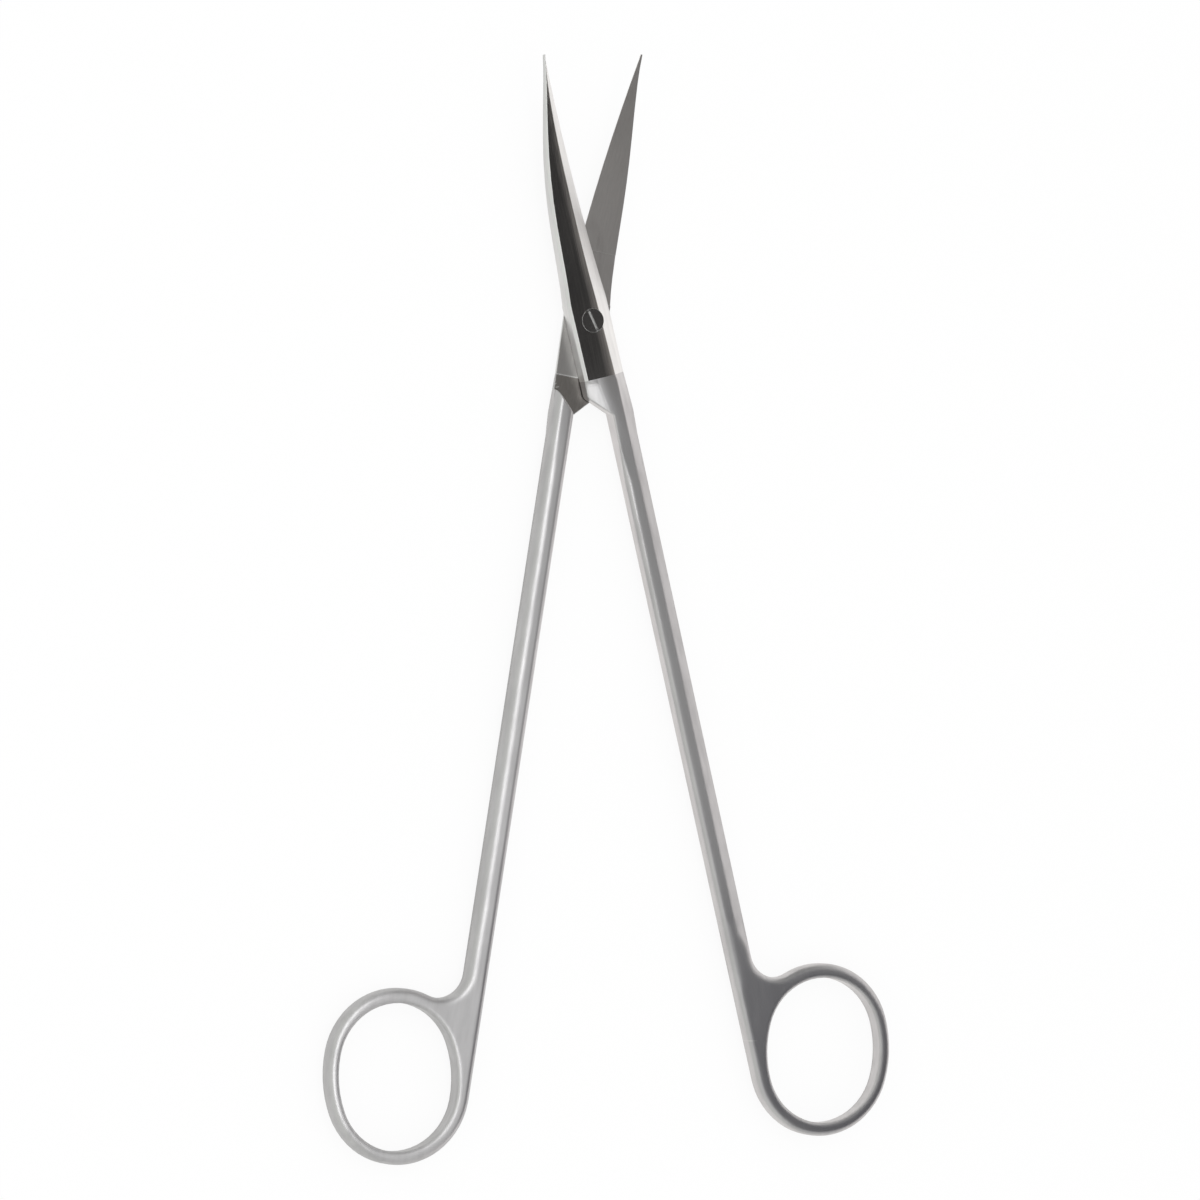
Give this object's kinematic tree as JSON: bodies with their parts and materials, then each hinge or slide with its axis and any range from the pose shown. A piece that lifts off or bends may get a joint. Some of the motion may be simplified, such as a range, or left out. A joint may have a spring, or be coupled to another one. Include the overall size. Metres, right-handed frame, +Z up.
{
  "type": "dissecting scissors",
  "caption": "Curved surgical dissecting scissors with slender straight shanks, oval finger rings and a slotted pivot screw.",
  "frame": {"origin": "on the pivot axis, at the flat underside of the joint, which rests on the table", "axes": "+Y from the pivot to the tips, halfway between the two blades; +Z up along the pivot axis, the side the screw head and the tips' curve face; +X to the right"},
  "size_m": [0.109, 0.1934, 0.0099],
  "materials": {
    "forged_steel": "satin stainless steel, polished on the outer faces of the blades",
    "screw_steel": "polished stainless steel"
  },
  "bodies": {
    "rear": {"rear_half": "forged_steel", "pivot_screw": "screw_steel"},
    "front": {"front_half": "forged_steel"}
  },
  "joints": [
    {"name": "pivot", "type": "hinge", "parent": "rear", "child": "front", "pos_m": [0, 0, 0.0028], "axis": [0, 0, 1], "range_deg": [-23, 67]}
  ]
}
